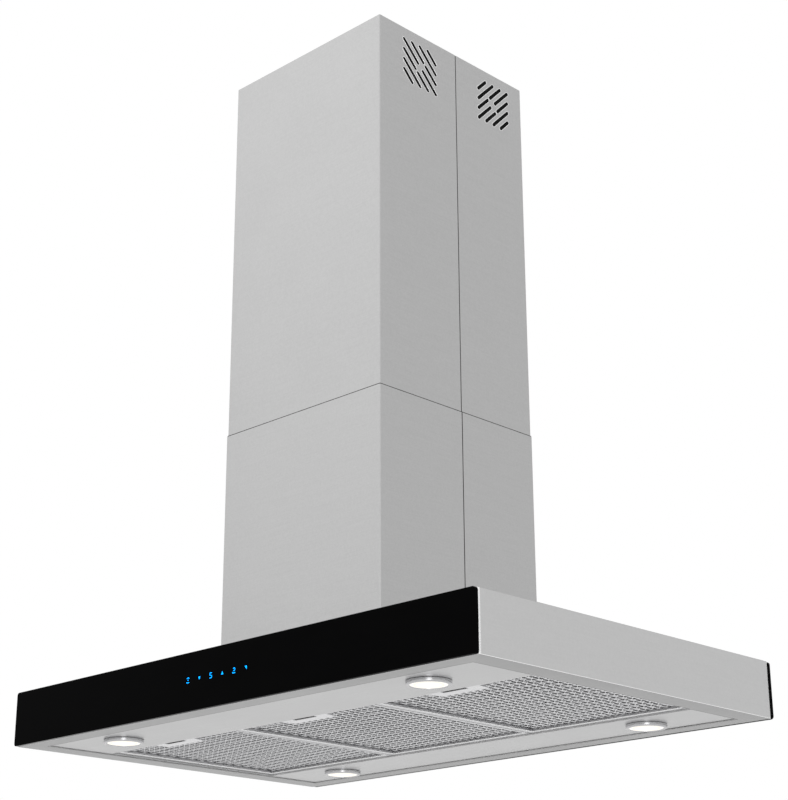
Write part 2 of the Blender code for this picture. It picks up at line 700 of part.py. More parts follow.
def filters():
    masters = {}
    rear_edge = FILTER_SHIFT + FILTER_LENGTH / 2
    for index, side in enumerate(("left", "middle", "right")):
        hinge = add_empty(f"hinge_{side}", ((index - 1) * FILTER_PITCH, rear_edge, FILTER_Z))
        slide = add_empty(f"slide_{side}", (0, -FILTER_LENGTH, 0), hinge)
        if not masters:
            masters["filter_frame"] = filter_frame(f"filter_frame_{side}", hinge)
            masters["filter_mesh"] = filter_mesh(f"filter_mesh_{side}", hinge)
            masters["filter_latch"] = filter_latch(f"filter_latch_{side}", slide)
        else:
            for stem, material in (("filter_frame", "aluminium"), ("filter_mesh", "filter_mesh"),
                                   ("filter_latch", "aluminium")):
                twin = add_object(f"{stem}_{side}", evaluated_mesh(masters[stem]), material)
                twin.parent = slide if stem == "filter_latch" else hinge
        latch_spring(f"latch_spring_{side}", hinge)


# Blower

def blower_box():
    x, y = BLOWER_X, BLOWER_Y
    case = box("blower_box", (-x, -y, BLOWER_LOW), (x, y, BLOWER_HIGH), "frame_steel")
    x, y = BLOWER_X - BLOWER_SHEET, BLOWER_Y - BLOWER_SHEET
    cut(case, box("blower_inside", (-x, -y, BLOWER_LOW - THROUGH), (x, y, BLOWER_HIGH - BLOWER_SHEET)))
    cut(case, drills("blower_outlet", [(0, 0)], BLOWER_OUTLET, BLOWER_HIGH))


def scroll_outline(grow):
    """Snail in the YZ plane: a spiral that opens from the tongue and then runs straight up."""
    count = 20
    first, last = SCROLL_NEAR + grow, SCROLL_FAR + grow
    top = BLOWER_HIGH - BLOWER_SHEET - GAP - FAN_CENTRE.z + (THROUGH if grow < 0 else 0.0)
    points = []
    for i in range(count + 1):
        share = i / count
        angle = math.radians(SCROLL_TONGUE + (SCROLL_END - SCROLL_TONGUE) * share)
        radius = first + (last - first) * share
        points.append((radius * math.cos(angle), radius * math.sin(angle)))
    points.append((last, top))
    points.append((points[0][0], top))
    return points


def blower_scroll():
    stand = Matrix.Translation(FAN_CENTRE) @ STAND_UP
    scroll = outline("blower_scroll", [scroll_outline(0.0)], 2 * SCROLL_X, "grey_plastic")
    inside = outline("scroll_inside", [scroll_outline(-SCROLL_SHEET)], 2 * (SCROLL_X - SCROLL_SHEET))
    cut(lay(scroll, stand), lay(inside, stand))
    reach = Vector((SCROLL_X + THROUGH, 0, 0))
    cut(scroll, rods("scroll_inlets", [(FAN_CENTRE - reach, FAN_CENTRE + reach)], INLET_RADIUS))


def spokes(name, count, first, size):
    """Boxes of one size set around Z; first places the one on the +X side."""
    mesh = bpy.data.meshes.new(name)
    shape = bmesh.new()
    for i in range(count):
        turn = Matrix.Rotation(2 * math.pi * i / count, 4, "Z")
        bmesh.ops.create_cube(shape, size=1.0, matrix=turn @ first @ Matrix.Diagonal((*size, 1)))
    shape.to_mesh(mesh)
    shape.free()
    return add_object(name, mesh)


def impeller(parent):
    """Drum of leaning blades on a central disc."""
    inner = FAN_RADIUS - BLADE_DEPTH
    disc_radius, half_disc, half_hub = inner + 0.004, FAN_DISC / 2, FAN_HUB_LENGTH / 2
    disc = turned("impeller", [(FAN_BORE, half_hub), (FAN_HUB, half_hub), (FAN_HUB, half_disc),
                               (disc_radius, half_disc), (disc_radius, -half_disc),
                               (FAN_HUB, -half_disc), (FAN_HUB, -half_hub), (FAN_BORE, -half_hub)],
                  "black_plastic", steps=24)
    lean = Matrix.Translation((inner + BLADE_DEPTH / 2, 0, 0)) @ Matrix.Rotation(
        math.radians(BLADE_LEAN), 4, "Z")
    size = Vector((BLADE_DEPTH - 0.0005, BLADE_SHEET, FAN_WIDTH - 0.001))
    join(disc, spokes("fan_blades", FAN_BLADES, lean, size))
    low, high = -FAN_WIDTH / 2, FAN_WIDTH / 2
    for name, ring_low, ring_high in (("fan_ring_left", low, low + FAN_RING),
                                      ("fan_ring_right", high - FAN_RING, high)):
        ring = [(inner, ring_high), (FAN_RADIUS, ring_high), (FAN_RADIUS, ring_low), (inner, ring_low)]
        join(disc, turned(name, ring, steps=24))
    place(disc, parent, rotation=ALONG_X)


def motor_and_shaft(parent):
    face = SCROLL_X + BRACKET_THICK
    socket_radius, socket_end = SHAFT_RADIUS + 0.0008, face + 0.022
    start = -FAN_HUB_LENGTH / 2 - 0.006
    shaft = rods("impeller_shaft", [((start, 0, 0), (socket_end - 0.0015, 0, 0))], SHAFT_RADIUS,
                 "shaft_steel", sides=16)
    place(shaft, parent)

    back = face + MOTOR_LENGTH
    motor = turned("blower_motor", [(0.0, back), (MOTOR_RADIUS - MOTOR_CHAMFER, back),
                                    (MOTOR_RADIUS, back - MOTOR_CHAMFER), (MOTOR_RADIUS, face + GAP),
                                    (socket_radius, face + GAP), (socket_radius, socket_end),
                                    (0.0, socket_end)], "frame_steel", steps=24)
    place(motor, location=FAN_CENTRE, rotation=ALONG_X)

    low, rim = SCROLL_X + GAP, BRACKET_RADIUS - BRACKET_ARM
    hub_bore, hub_radius = 0.009, 0.022
    bracket = turned("motor_bracket", [(rim, face), (BRACKET_RADIUS, face), (BRACKET_RADIUS, low),
                                       (rim, low)], "frame_steel", steps=24)
    hub = turned("bracket_hub", [(hub_bore, face - GAP), (hub_radius, face - GAP),
                                 (hub_radius, low + GAP), (hub_bore, low + GAP)], steps=24)
    arm = Vector((rim - hub_radius + 0.007, BRACKET_ARM, BRACKET_THICK - 0.0013))
    middle = Matrix.Translation(((rim + hub_radius) / 2, 0, (face + low) / 2))
    join(bracket, spokes("bracket_arms", 3, middle, arm))
    join(bracket, hub)
    place(bracket, location=FAN_CENTRE, rotation=ALONG_X)


def outlet_collar():
    low = BLOWER_HIGH + GAP
    high, ledge, bore = low + COLLAR_HEIGHT, low + 0.002, COLLAR_RADIUS - COLLAR_WALL
    collar = turned("outlet_collar", [(bore, high), (COLLAR_RADIUS, high), (COLLAR_RADIUS, ledge),
                                      (COLLAR_FLANGE, ledge), (COLLAR_FLANGE, low), (bore, low)],
                    "black_plastic")
    pivot = low + FLAP_RISE
    past, half = COLLAR_FLANGE + THROUGH, COLLAR_RADIUS - COLLAR_WALL / 2
    cut(collar, rods("spindle_holes", [((0, -past, pivot), (0, past, pivot))], SPINDLE_BORE, sides=12))
    rods("flap_spindle", [((0, -half, pivot), (0, half, pivot))], SPINDLE_RADIUS, "shaft_steel", sides=12)
    return pivot


def backdraft_flap(name, parent):
    """Half disc on the +X side with two knuckles that wrap the spindle along Y."""
    start = math.degrees(math.asin(FLAP_EDGE / FLAP_RADIUS))
    half_disc = arc((0, 0), FLAP_RADIUS, start - 90, 90 - start, 16)
    flap = outline(name, [half_disc], FLAP_THICK, "black_plastic")
    near, far, half = SPINDLE_BORE + 2 * LAP, FLAP_EDGE + 0.0018, 2 * LAP
    tongues = [((near, low + 0.0005, -half), (far, high - 0.0005, half)) for low, high in KNUCKLES]
    join(flap, boxes(name + "_tongues", tongues))
    tubes = [((0, low, 0), (0, high, 0)) for low, high in KNUCKLES]
    join(flap, rods(name + "_tubes", tubes, KNUCKLE_RADIUS, sides=12))
    bore = [((0, -FLAP_RADIUS, 0), (0, FLAP_RADIUS, 0))]
    cut(flap, rods(name + "_bore", bore, SPINDLE_BORE, sides=12))
    place(flap, parent)


def blower():
    blower_box()
    blower_scroll()
    axle = add_empty("fan_axis", FAN_CENTRE)
    impeller(axle)
    motor_and_shaft(axle)
    pivot = outlet_collar()
    for side, turn in (("right", 0.0), ("left", math.pi)):
        hinge = add_empty(f"flap_axis_{side}", (0, 0, pivot))
        hinge.rotation_euler = (0, 0, turn)
        backdraft_flap(f"backdraft_flap_{side}", hinge)


# Controls and wiring

def touch_module():
    touch = box("touch_module", (-TOUCH_X, -SHELL_Y, TOUCH_LEVEL - TOUCH_Z),
                (TOUCH_X, TOUCH_DEPTH - SHELL_Y, TOUCH_LEVEL + TOUCH_Z), "black_plastic")
    bevel(touch, 0.0005)


def electronics_box():
    """Terminal box on the blower's right wall, with the supply cable's gland on top."""
    low_x, high_x = BLOWER_X + 0.0005, BLOWER_X + 0.0005 + CASE_DEPTH
    top = CANOPY_TOP + CASE_HIGH
    case = box("electronics_box", (low_x, -CASE_HALF, CANOPY_TOP + CASE_LOW), (high_x, CASE_HALF, top),
               "grey_plastic")
    bevel(case, 0.0010)

    mouth, nut, flange = 0.0056, 0.0068, 0.0075
    mouth_level, nut_level, flange_level = 0.016, 0.012, 0.006
    gland = turned("cable_gland", [(GLAND_BORE, mouth_level), (mouth, mouth_level), (nut, nut_level),
                                   (nut, flange_level), (flange, flange_level), (flange, GAP),
                                   (GLAND_BORE, GAP)], "black_plastic", steps=16)
    place(gland, location=((low_x + high_x) / 2, GLAND_Y, top))


def main():
    ceiling_plate()
    posts_and_bolts()
    braces()
    chimney()
    canopy_shell()
    bottom_panel()
    glass_panels()
    lamps()
    filters()
    blower()
    touch_module()
    electronics_box()
    for obj in HOOD.objects:
        if obj.type == "MESH":
            smooth(obj)


main()
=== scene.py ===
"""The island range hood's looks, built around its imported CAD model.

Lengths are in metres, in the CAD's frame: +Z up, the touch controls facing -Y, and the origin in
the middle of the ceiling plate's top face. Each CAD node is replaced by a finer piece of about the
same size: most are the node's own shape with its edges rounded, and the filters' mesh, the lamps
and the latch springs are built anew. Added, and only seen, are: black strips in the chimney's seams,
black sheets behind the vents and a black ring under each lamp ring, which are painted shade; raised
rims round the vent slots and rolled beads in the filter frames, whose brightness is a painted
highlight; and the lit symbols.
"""

import json
import math

import bmesh
import bpy
from mathutils import Matrix, Vector


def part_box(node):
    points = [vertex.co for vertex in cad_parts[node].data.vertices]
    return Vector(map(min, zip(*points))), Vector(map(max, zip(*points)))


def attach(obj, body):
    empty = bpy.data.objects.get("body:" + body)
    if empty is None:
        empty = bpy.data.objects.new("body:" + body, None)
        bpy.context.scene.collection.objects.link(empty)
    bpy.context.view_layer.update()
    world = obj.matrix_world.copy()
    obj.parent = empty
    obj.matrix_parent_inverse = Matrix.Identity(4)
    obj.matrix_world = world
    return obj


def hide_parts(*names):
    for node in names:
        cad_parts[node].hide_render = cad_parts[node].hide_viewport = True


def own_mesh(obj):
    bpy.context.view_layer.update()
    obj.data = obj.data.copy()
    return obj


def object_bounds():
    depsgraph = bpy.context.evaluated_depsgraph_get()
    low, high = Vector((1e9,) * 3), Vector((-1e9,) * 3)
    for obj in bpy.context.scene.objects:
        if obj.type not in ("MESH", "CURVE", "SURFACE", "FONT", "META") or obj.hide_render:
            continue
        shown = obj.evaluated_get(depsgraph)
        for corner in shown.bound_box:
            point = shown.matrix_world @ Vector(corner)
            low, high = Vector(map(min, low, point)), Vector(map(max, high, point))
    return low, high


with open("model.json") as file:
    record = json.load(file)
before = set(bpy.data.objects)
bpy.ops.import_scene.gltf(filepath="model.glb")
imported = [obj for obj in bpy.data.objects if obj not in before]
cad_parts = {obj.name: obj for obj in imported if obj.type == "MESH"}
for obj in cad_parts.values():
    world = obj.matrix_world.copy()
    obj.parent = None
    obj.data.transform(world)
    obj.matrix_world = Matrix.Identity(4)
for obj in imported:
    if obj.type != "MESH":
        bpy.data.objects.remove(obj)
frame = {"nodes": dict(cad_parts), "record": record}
CAD_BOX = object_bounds()

NODES = frame["nodes"]
SLOT_OF = {part["node"]: part["material_slot"] for part in frame["record"]["subparts"]}
BODY_OF = {node: body for body, nodes in frame["record"]["behaviour"]["bodies"].items() for node in nodes}
CORNERS = ("front_left", "front_right", "rear_left", "rear_right")
SIDES = ("left", "middle", "right")

MM = 0.001
GAP = 0.3 * MM
TOUCH = 0.1 * MM              # places closer than this count as the same

# Sizes that part.py uses too
CHIMNEY_SHEET = 0.8 * MM
SEAM_Y, SEAM_GAP = 6 * MM, 0.4 * MM
VENT_CENTRES = {"front": -73 * MM, "rear": 92 * MM}
VENT_TOP = 20 * MM
LENS_RADIUS, LAMP_BARREL = 23.8 * MM, 25.0 * MM
FILTER_RIM = 9 * MM
FRAME_WALL = 1.8 * MM         # a filter frame's rear wall, with its gap to the mesh
POCKET_X, POCKET_Y = 37.2 * MM, 28 * MM
SPRING_WIRE, SPRING_TURNS = 0.3 * MM, 4

# Sizes of what is only seen
SEAM_SETBACK = 0.65 * MM      # how far each half's seam edge is moved back
SHADE_STRIP = 0.2 * MM               # thickness of the black strips in the seams, which are painted shade
SLOT_WIDER = 0.8 * MM         # added at each side of a vent slot
SLOT_RIM = 1.1 * MM           # width of the raised rim round it, whose brightness is a painted highlight
VENT_SHADE = 42 * MM              # half the width of the black sheet behind a vent, painted shade for the chimney's dark inside
FLANGE_LEAST = 20 * MM        # the canopy's mouth lies at least this far inside its outline
MOUTH_SHADOW = 1.4 * MM         # painted shadow band along the front and sides of the mouth
FOLD, FOLD_INSET = 2.6 * MM, 0.5 * MM  # band along the canopy's upright folds, angled and with a painted highlight; how far it is set in
GLASS_RECESS = 0.08 * MM      # depth of the lit symbols in the front glass
SYMBOL_HEIGHT, SYMBOL_PITCH = 41 * MM, 23 * MM
SYMBOL_UNIT = 0.86 * MM       # size of one unit of the symbols' outlines
STROKE_STEP = 0.004 * MM      # keeps the faces of crossing strokes apart
LAMP_FINS = 5
SHOWN_RIM = 5.5 * MM          # width that the lip under a filter's mesh is narrowed to
BEAD = 0.8 * MM               # radius of the rolled edge inside a filter's rim
STRAND = 0.35 * MM            # thickness of the expanded metal
CRIMP_RUN, CRIMP_DEPTH = 18.7 * MM, 1.1 * MM
# The layers of a filter's mesh: strand pitch, row spacing, height in the pack, strand width, lean
MESH_LAYERS = (
    (11.85 * MM, 4.68 * MM, 1.6 * MM, 1.3 * MM, -25),
    (9.6 * MM, 3.9 * MM, 4.2 * MM, 0.8 * MM, 25),
)

# The stage, its light and the camera
FLOOR_DROP, FLOOR_SIZE = 3.2, 200.0  # from the lamps down to the floor, and half its width
FLOOR_WHITE = (0.86, 0.86, 0.86)
FRONT_LEFT = (-0.707, -0.707, 0.0)
WORLD_LEVEL = 0.74            # brightness of the surroundings at eye level
WORLD_RISE = 0.75             # how much they brighten upwards on the front left, at most
FULL_RISE = 0.93              # the rise is full where a direction's front-left part reaches this
KEY_PLACE, KEY_TARGET = (3.0, -3.0, -1.6), (0, 0, -0.8)
KEY_SIZE, KEY_POWER = (1.6, 2.4), 22  # the power is in watts
EYE_X, EYE_Y = 1.7808, -1.7934
EYE_DROP = 0.4287             # how far the camera is below the canopy's underside
YAW, PITCH, ROLL = 44.307, 20.105, -0.230  # in degrees
FOCAL_LENGTH, SENSOR_WIDTH = 81.13, 36.0   # in millimetres


# Node trees

def add_node(tree, kind, inputs=None, **settings):
    """A node with its settings and inputs; an input is a value or another node's output."""
    node = tree.nodes.new(kind)
    for name, value in settings.items():
        setattr(node, name, value)
    for name, value in (inputs or {}).items():
        if isinstance(value, bpy.types.NodeSocket):
            tree.links.new(value, node.inputs[name])
        else:
            node.inputs[name].default_value = value
    return node


def new_material(name, colour, metallic, roughness, **sockets):
    """A Principled material; further sockets are given with _ for each space in their names."""
    material = bpy.data.materials.new(name)
    material.use_nodes = True
    shader = material.node_tree.nodes["Principled BSDF"]
    shader.inputs["Base Color"].default_value = (*colour, 1.0)
    shader.inputs["Metallic"].default_value = metallic
    shader.inputs["Roughness"].default_value = roughness
    for socket, value in sockets.items():
        shader.inputs[socket.replace("_", " ")].default_value = value
    return material, material.node_tree, shader


def noise(tree, stretch, detail=3.0, roughness=0.5):
    """Noise over the piece's own position, with that many waves a metre along each axis."""
    place = add_node(tree, "ShaderNodeTexCoord").outputs["Object"]
    wide = add_node(tree, "ShaderNodeMapping", {"Vector": place, "Scale": stretch})
    return add_node(tree, "ShaderNodeTexNoise", {
        "Vector": wide.outputs["Vector"], "Scale": 1.0, "Detail": detail, "Roughness": roughness,
    }).outputs["Fac"]


def spread(tree, value, low, high, start=0.3, stop=0.7):
    """Maps a pattern's usual range to low..high."""
    return add_node(tree, "ShaderNodeMapRange", {
        "Value": value, "From Min": start, "From Max": stop, "To Min": low, "To Max": high,
    }).outputs["Result"]


def tint(tree, shader, pattern, colour, low, high):
    """Varies the base colour between low and high times the given one."""
    ends = [tuple(channel * share for channel in colour) for share in (low, high)]
    mix = add_node(tree, "ShaderNodeMix", {"Factor": pattern}, data_type="RGBA")
    # Sockets 6 and 7 are the node's colours A and B
    mix.inputs[6].default_value = (*ends[0], 1.0)
    mix.inputs[7].default_value = (*ends[1], 1.0)
    tree.links.new(mix.outputs[2], shader.inputs["Base Color"])


def emboss(tree, shader, heights, distance, strength=1.0):
    """Bump from one or more height patterns, the first on top."""
    normal = None
    for height in heights:
        inputs = {"Height": height, "Distance": distance, "Strength": strength}
        if normal:
            inputs["Normal"] = normal
        normal = add_node(tree, "ShaderNodeBump", inputs).outputs["Normal"]
    tree.links.new(normal, shader.inputs["Normal"])


def brushed_metal(name, colour, roughness, grain, contrast=0.05, depth=0.012 * MM):
    """Sheet metal with brushed streaks, faint orange peel and slow changes of tone."""
    material, tree, shader = new_material(name, colour, 1.0, roughness)
    fine = noise(tree, grain, detail=4.0, roughness=0.6)
    peel = noise(tree, (330, 330, 330), detail=3.0, roughness=0.6)
    slow = noise(tree, (9, 9, 9), detail=2.0)
    tone = add_node(tree, "ShaderNodeMix", {0: 0.5, 2: fine, 3: peel}, data_type="FLOAT").outputs[0]
    tint(tree, shader, spread(tree, tone, 0.0, 1.0, 0.35, 0.65), colour, 1 - contrast, 1 + contrast)
    uneven = add_node(tree, "ShaderNodeMath", {
        0: spread(tree, fine, -0.05, 0.06), 1: spread(tree, slow, -0.02, 0.03),
    }, operation="ADD").outputs["Value"]
    total = add_node(tree, "ShaderNodeMath", {0: uneven, 1: roughness}, operation="ADD")
    tree.links.new(total.outputs["Value"], shader.inputs["Roughness"])
    emboss(tree, shader, [fine, peel], depth, 0.5)
    return material


def galvanised(name):
    """Zinc coat: large pale crystals, each of its own tone and gloss."""
    colour = (0.56, 0.57, 0.58)
    material, tree, shader = new_material(name, colour, 1.0, 0.42)
    place = add_node(tree, "ShaderNodeTexCoord").outputs["Object"]
    crystals = add_node(tree, "ShaderNodeTexVoronoi", {"Vector": place, "Scale": 110.0})
    tone = add_node(tree, "ShaderNodeSeparateColor", {"Color": crystals.outputs["Color"]})
    tint(tree, shader, tone.outputs["Red"], colour, 0.80, 1.12)
    tree.links.new(spread(tree, tone.outputs["Green"], 0.34, 0.56, 0, 1), shader.inputs["Roughness"])
    emboss(tree, shader, [noise(tree, (900, 900, 900))], 0.01 * MM, 0.4)
    return material


def moulded(name, colour, roughness):
    """Plastic with a fine spark-eroded texture."""
    material, tree, shader = new_material(name, colour, 0.0, roughness)
    fine = noise(tree, (2200, 2200, 2200), detail=2.0)
    slow = noise(tree, (30, 30, 30))
    tint(tree, shader, slow, colour, 0.85, 1.15)
    tree.links.new(spread(tree, fine, roughness - 0.08, roughness + 0.1), shader.inputs["Roughness"])
    emboss(tree, shader, [fine], 0.03 * MM, 0.5)
    return material


def matte_black(name):
    """Near-black surface with a fine texture and almost no gloss, used as painted shade."""
    material, tree, shader = new_material(name, (0.004, 0.004, 0.004), 0.0, 0.8, Specular_IOR_Level=0.1)
    fine = noise(tree, (1800, 1800, 1800))
    tint(tree, shader, fine, (0.004, 0.004, 0.004), 0.5, 1.6)
    emboss(tree, shader, [fine], 0.05 * MM, 0.6)
    return material


def turned_metal(name, colour, roughness):
    """Lathe-turned metal: fine rings about the piece's own Z axis."""
    material, tree, shader = new_material(name, colour, 1.0, roughness)
    place = add_node(tree, "ShaderNodeTexCoord").outputs["Object"]
    split = add_node(tree, "ShaderNodeSeparateXYZ", {"Vector": place})
    flat = add_node(tree, "ShaderNodeCombineXYZ", {"X": split.outputs["X"], "Y": split.outputs["Y"]})
    radius = add_node(tree, "ShaderNodeVectorMath", {0: flat.outputs["Vector"]}, operation="LENGTH")
    ring = add_node(tree, "ShaderNodeCombineXYZ", {"X": radius.outputs["Value"], "Y": split.outputs["Z"]})
    fine = add_node(tree, "ShaderNodeTexNoise", {
        "Vector": ring.outputs["Vector"], "Scale": 5200.0, "Detail": 2.0,
    }).outputs["Fac"]
    tint(tree, shader, spread(tree, fine, 0.0, 1.0), colour, 0.92, 1.06)
    tree.links.new(spread(tree, fine, roughness - 0.05, roughness + 0.08), shader.inputs["Roughness"])
    emboss(tree, shader, [fine], 0.01 * MM, 0.5)
    return material


def black_glass(name):
    """Glass enamelled black behind; its surface is flat but for a very faint ripple."""
    colour = (0.0015, 0.0015, 0.0016)
    material, tree, shader = new_material(name, colour, 0.0, 0.04, Specular_IOR_Level=0.01)
    wipe = noise(tree, (14, 14, 40), detail=4.0)
    tint(tree, shader, wipe, colour, 0.8, 1.25)
    tree.links.new(spread(tree, wipe, 0.03, 0.07), shader.inputs["Roughness"])
    emboss(tree, shader, [noise(tree, (9, 9, 9))], 0.05 * MM, 0.15)
    return material


def lit_lens(name):
    """Frosted lens over warm light-emitting diodes, with a faint amber ring near its edge."""
    material, tree, shader = new_material(name, (0.08, 0.08, 0.07), 0.0, 0.35, Specular_IOR_Level=0.3)
    place = add_node(tree, "ShaderNodeTexCoord").outputs["Object"]
    split = add_node(tree, "ShaderNodeSeparateXYZ", {"Vector": place})
    flat = add_node(tree, "ShaderNodeCombineXYZ", {"X": split.outputs["X"], "Y": split.outputs["Y"]})
    radius = add_node(tree, "ShaderNodeVectorMath", {0: flat.outputs["Vector"]}, operation="LENGTH")
    share = spread(tree, radius.outputs["Value"], 0.0, 1.0, 0.0, LENS_RADIUS)
    ramp = add_node(tree, "ShaderNodeValToRGB", {"Fac": share}).color_ramp
    stops = ((0.0, (1.0, 0.98, 0.94)), (0.62, (1.0, 0.96, 0.89)), (0.76, (0.95, 0.82, 0.66)),
             (0.84, (1.0, 0.96, 0.90)), (1.0, (0.80, 0.79, 0.78)))
    for position, colour in stops[1:-1]:
        ramp.elements.new(position).color = (*colour, 1.0)
    for stop, (position, colour) in zip(ramp.elements, stops):
        stop.color = (*colour, 1.0)
    tree.links.new(tree.nodes["Color Ramp"].outputs["Color"], shader.inputs["Emission Color"])
    shader.inputs["Emission Strength"].default_value = 0.94
    emboss(tree, shader, [noise(tree, (1500, 1500, 1500))], 0.02 * MM, 0.4)
    return material


def glowing(name, colour, strength):
    """Lit symbol, its light a little uneven."""
    material, tree, shader = new_material(name, (0.0, 0.01, 0.03), 0.0, 0.3, Specular_IOR_Level=0.02)
    uneven = noise(tree, (700, 700, 700))
    shader.inputs["Emission Color"].default_value = (*colour, 1.0)
    tree.links.new(spread(tree, uneven, 0.75 * strength, 1.25 * strength), shader.inputs["Emission Strength"])
    return material


ALONG_X = (12, 700, 700)
ALONG_Y = (700, 12, 700)
LEVEL = (14, 14, 700)

LOOKS = {
    "frame_steel": galvanised("galvanised_steel"),
    "zinc_bolt": brushed_metal("zinc_plate", (0.62, 0.62, 0.60), 0.28, (300, 300, 300)),
    "chrome_ring": turned_metal("satin_ring", (0.53, 0.53, 0.54), 0.22),
    "lamp_lens": lit_lens("frosted_lens"),
    "cast_aluminium": brushed_metal("cast_aluminium", (0.60, 0.60, 0.61), 0.48, (500, 500, 500),
                                    depth=0.05 * MM),
    "chimney_steel": brushed_metal("chimney_steel", (0.56, 0.56, 0.56), 0.36, LEVEL),
    "canopy_steel": brushed_metal("canopy_steel", (0.66, 0.66, 0.66), 0.34, LEVEL, 0.03),
    "panel_steel": brushed_metal("panel_steel", (0.565, 0.565, 0.565), 0.33, ALONG_X, 0.03),
    "black_glass": black_glass("black_glass"),
    "filter_aluminium": brushed_metal("filter_frame_aluminium", (0.66, 0.66, 0.67), 0.32, ALONG_Y),
    "filter_mesh": brushed_metal("filter_mesh_aluminium", (0.78, 0.78, 0.79), 0.30, (600, 600, 600)),
    # painted shade: the mesh's aluminium made darker, for the deeper layer
    "shaded_mesh": brushed_metal("shaded_mesh_aluminium", (0.34, 0.34, 0.35), 0.38, (600, 600, 600)),
    "latch_aluminium": brushed_metal("latch_aluminium", (0.76, 0.76, 0.77), 0.30, ALONG_X),
    "spring_steel": turned_metal("bright_steel", (0.50, 0.50, 0.50), 0.22),
    "grey_plastic": moulded("grey_plastic", (0.22, 0.23, 0.24), 0.5),
    "black_plastic": moulded("black_plastic", (0.02, 0.02, 0.02), 0.45),
    # painted shade: the vent slots' walls and the black sheets behind the vents
    "dark": matte_black("matte_black"),
    # painted shade: the shell's own steel made darker, for its flange, the tops of its sides and its rounded
    # mouth edge
    "flange": brushed_metal("flange_steel", (0.395, 0.395, 0.395), 0.38, ALONG_X, 0.03),
    # painted shadow: dark steel for the band along the mouth's front and sides
    "shade_line": brushed_metal("shade_line_steel", (0.13, 0.13, 0.13), 0.45, ALONG_Y),
    # painted highlight: a brighter copy of the steel for the canopy's fold bands and lower side edges, the
    # vent slot rims and the filter beads
    "polished": brushed_metal("painted_highlight_steel", (0.95, 0.95, 0.95), 0.26, LEVEL, 0.02),
    "symbol": glowing("symbol_light", (0.0, 0.34, 1.0), 2.7),
}


# Mesh building

def mesh_from(name, shape):
    """Turns a bmesh into a mesh with outward normals and smooth rounds."""
    bmesh.ops.recalc_face_normals(shape, faces=shape.faces)
    mesh = bpy.data.meshes.new(name)
    shape.to_mesh(mesh)
    shape.free()
    return smooth(mesh)


def smooth(mesh, angle=35):
    mesh.shade_smooth()
    mesh.set_sharp_from_angle(angle=math.radians(angle))
    return mesh


def add_box(shape, low, high):
    size = Matrix.Diagonal([far - near for near, far in zip(low, high)] + [1])
    middle = (Vector(low) + Vector(high)) / 2
    bmesh.ops.create_cube(shape, size=1.0, matrix=Matrix.Translation(middle) @ size)


def boxes(name, corners):
    """One mesh of boxes, each given by its low and high corners."""
    shape = bmesh.new()
    for low, high in corners:
        add_box(shape, low, high)
    return mesh_from(name, shape)


def turned(name, profile, steps=96):
    """Lathe-turns a closed (radius, height) profile about Z."""
    shape = bmesh.new()
    verts = [shape.verts.new((radius, 0, height)) for radius, height in profile]
    edges = [shape.edges.new(pair) for pair in zip(verts, verts[1:] + verts[:1])]
    bmesh.ops.spin(shape, geom=verts + edges, cent=(0, 0, 0), axis=(0, 0, 1), angle=2 * math.pi,
                   steps=steps, use_merge=True)
    bmesh.ops.remove_doubles(shape, verts=shape.verts, dist=0.001 * MM)
    return mesh_from(name, shape)


def wire(name, points, radius, sides=3):
    """Mesh of a round wire along the points."""
    curve = bpy.data.curves.new(name, "CURVE")
    curve.dimensions = "3D"
    curve.bevel_depth = radius
    curve.bevel_resolution = sides
    curve.use_fill_caps = True
    spline = curve.splines.new("POLY")
    spline.points.add(len(points) - 1)
    for point, place in zip(spline.points, points):
        point.co = (*place, 1.0)
    holder = bpy.data.objects.new(name, curve)
    bpy.context.scene.collection.objects.link(holder)
    mesh = bpy.data.meshes.new_from_object(holder.evaluated_get(bpy.context.evaluated_depsgraph_get()))
    bpy.data.objects.remove(holder)
    return smooth(mesh)


def node_shape(node):
    """The CAD node's shape as one welded bmesh with its flat faces whole."""
    shape = bmesh.new()
    shape.from_mesh(NODES[node].data)
    bmesh.ops.remove_doubles(shape, verts=shape.verts, dist=0.002 * MM)
    bmesh.ops.dissolve_limit(shape, angle_limit=math.radians(0.5), verts=shape.verts, edges=shape.edges)
    return shape


def round_over(shape, chosen, width, segments=3, material=-1):
    """Rounds the edges for which chosen(middle, direction) is true."""
    edges = []
    for edge in shape.edges:
        ends = [vert.co for vert in edge.verts]
        middle, along = (ends[0] + ends[1]) / 2, (ends[1] - ends[0]).normalized()
        if edge.calc_face_angle(0) > math.radians(40) and chosen(middle, along):
            edges.append(edge)
    bmesh.ops.bevel(shape, geom=edges, offset=width, segments=segments, profile=0.5, affect="EDGES",
                    clamp_overlap=True, material=material)


# Pieces

def piece(name, mesh, node, material=None, stands_for=True, location=(0, 0, 0)):
    """A mesh as a piece that rides with a CAD node's body and takes its finish."""
    made = bpy.data.objects.new(name, mesh)
    made.location = location
    bpy.context.scene.collection.objects.link(made)
    if material or not mesh.materials:
        mesh.materials.append(material or LOOKS[SLOT_OF[node]])
    if stands_for:
        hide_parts(node)
    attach(made, BODY_OF[node])
    return made


def soften(made, width, segments=2, angle=40):
    """Rounds every sharp edge that is left on a piece."""
    modifier = made.modifiers.new("rounded", "BEVEL")
    modifier.width = width
    modifier.segments = segments
    modifier.limit_method = "ANGLE"
    modifier.angle_limit = math.radians(angle)
    modifier.harden_normals = True
    return made


def refined(node, width):
    """A piece of the CAD node's own shape, with its sharp edges rounded."""
    return soften(piece(f"{node}_fine", mesh_from(node, node_shape(node)), node), width)


# Chimney

